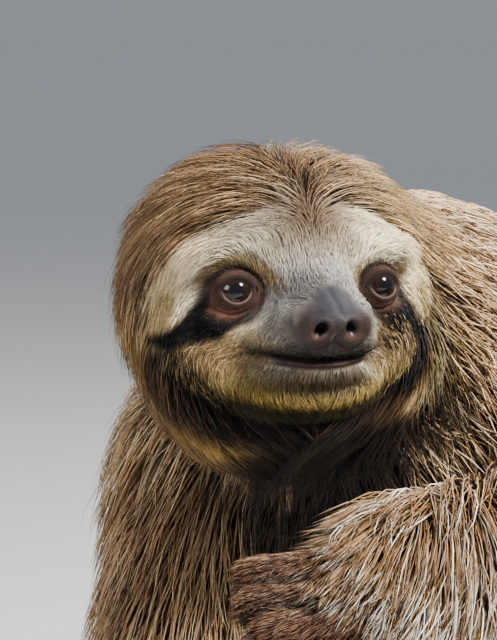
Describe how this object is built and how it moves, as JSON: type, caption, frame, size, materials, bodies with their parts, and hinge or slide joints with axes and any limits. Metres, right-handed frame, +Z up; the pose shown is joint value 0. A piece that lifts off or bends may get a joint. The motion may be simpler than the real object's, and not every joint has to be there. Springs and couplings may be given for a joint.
{
  "type": "three-toed sloth",
  "caption": "Life-size still model of an adult sloth, seated, head turned, one forearm raised across the chest and the other hand on the floor; thick coat, long hooked claws.",
  "frame": {"origin": "middle of the flat on which the rump rests, at floor level", "axes": "+Z up; -Y the way the body faces; +X the animal's left"},
  "size_m": [0.3756, 0.4775, 0.3976],
  "materials": {
    "coat_brown": "long, coarse brown hair with pale strands",
    "coat_face": "short pale hair, bare dark nose and lips",
    "claw_horn": "smooth horn, satin",
    "eye_dark": "wet and glossy"
  },
  "bodies": {
    "root": {"head": "coat_face", "neck": "coat_brown", "trunk": "coat_brown", "tail": "coat_brown", "upper_arm_left": "coat_brown", "forearm_left": "coat_brown", "hand_left": "coat_brown", "thigh_left": "coat_brown", "shin_left": "coat_brown", "foot_left": "coat_brown", "upper_arm_right": "coat_brown", "forearm_right": "coat_brown", "hand_right": "coat_brown", "thigh_right": "coat_brown", "shin_right": "coat_brown", "foot_right": "coat_brown", "eye_left": "eye_dark", "eye_right": "eye_dark", "claw_hand_left_1": "claw_horn", "claw_hand_left_2": "claw_horn", "claw_hand_left_3": "claw_horn", "claw_hand_right_1": "claw_horn", "claw_hand_right_2": "claw_horn", "claw_hand_right_3": "claw_horn", "claw_foot_left_1": "claw_horn", "claw_foot_left_2": "claw_horn", "claw_foot_left_3": "claw_horn", "claw_foot_right_1": "claw_horn", "claw_foot_right_2": "claw_horn", "claw_foot_right_3": "claw_horn"}
  },
  "joints": []
}
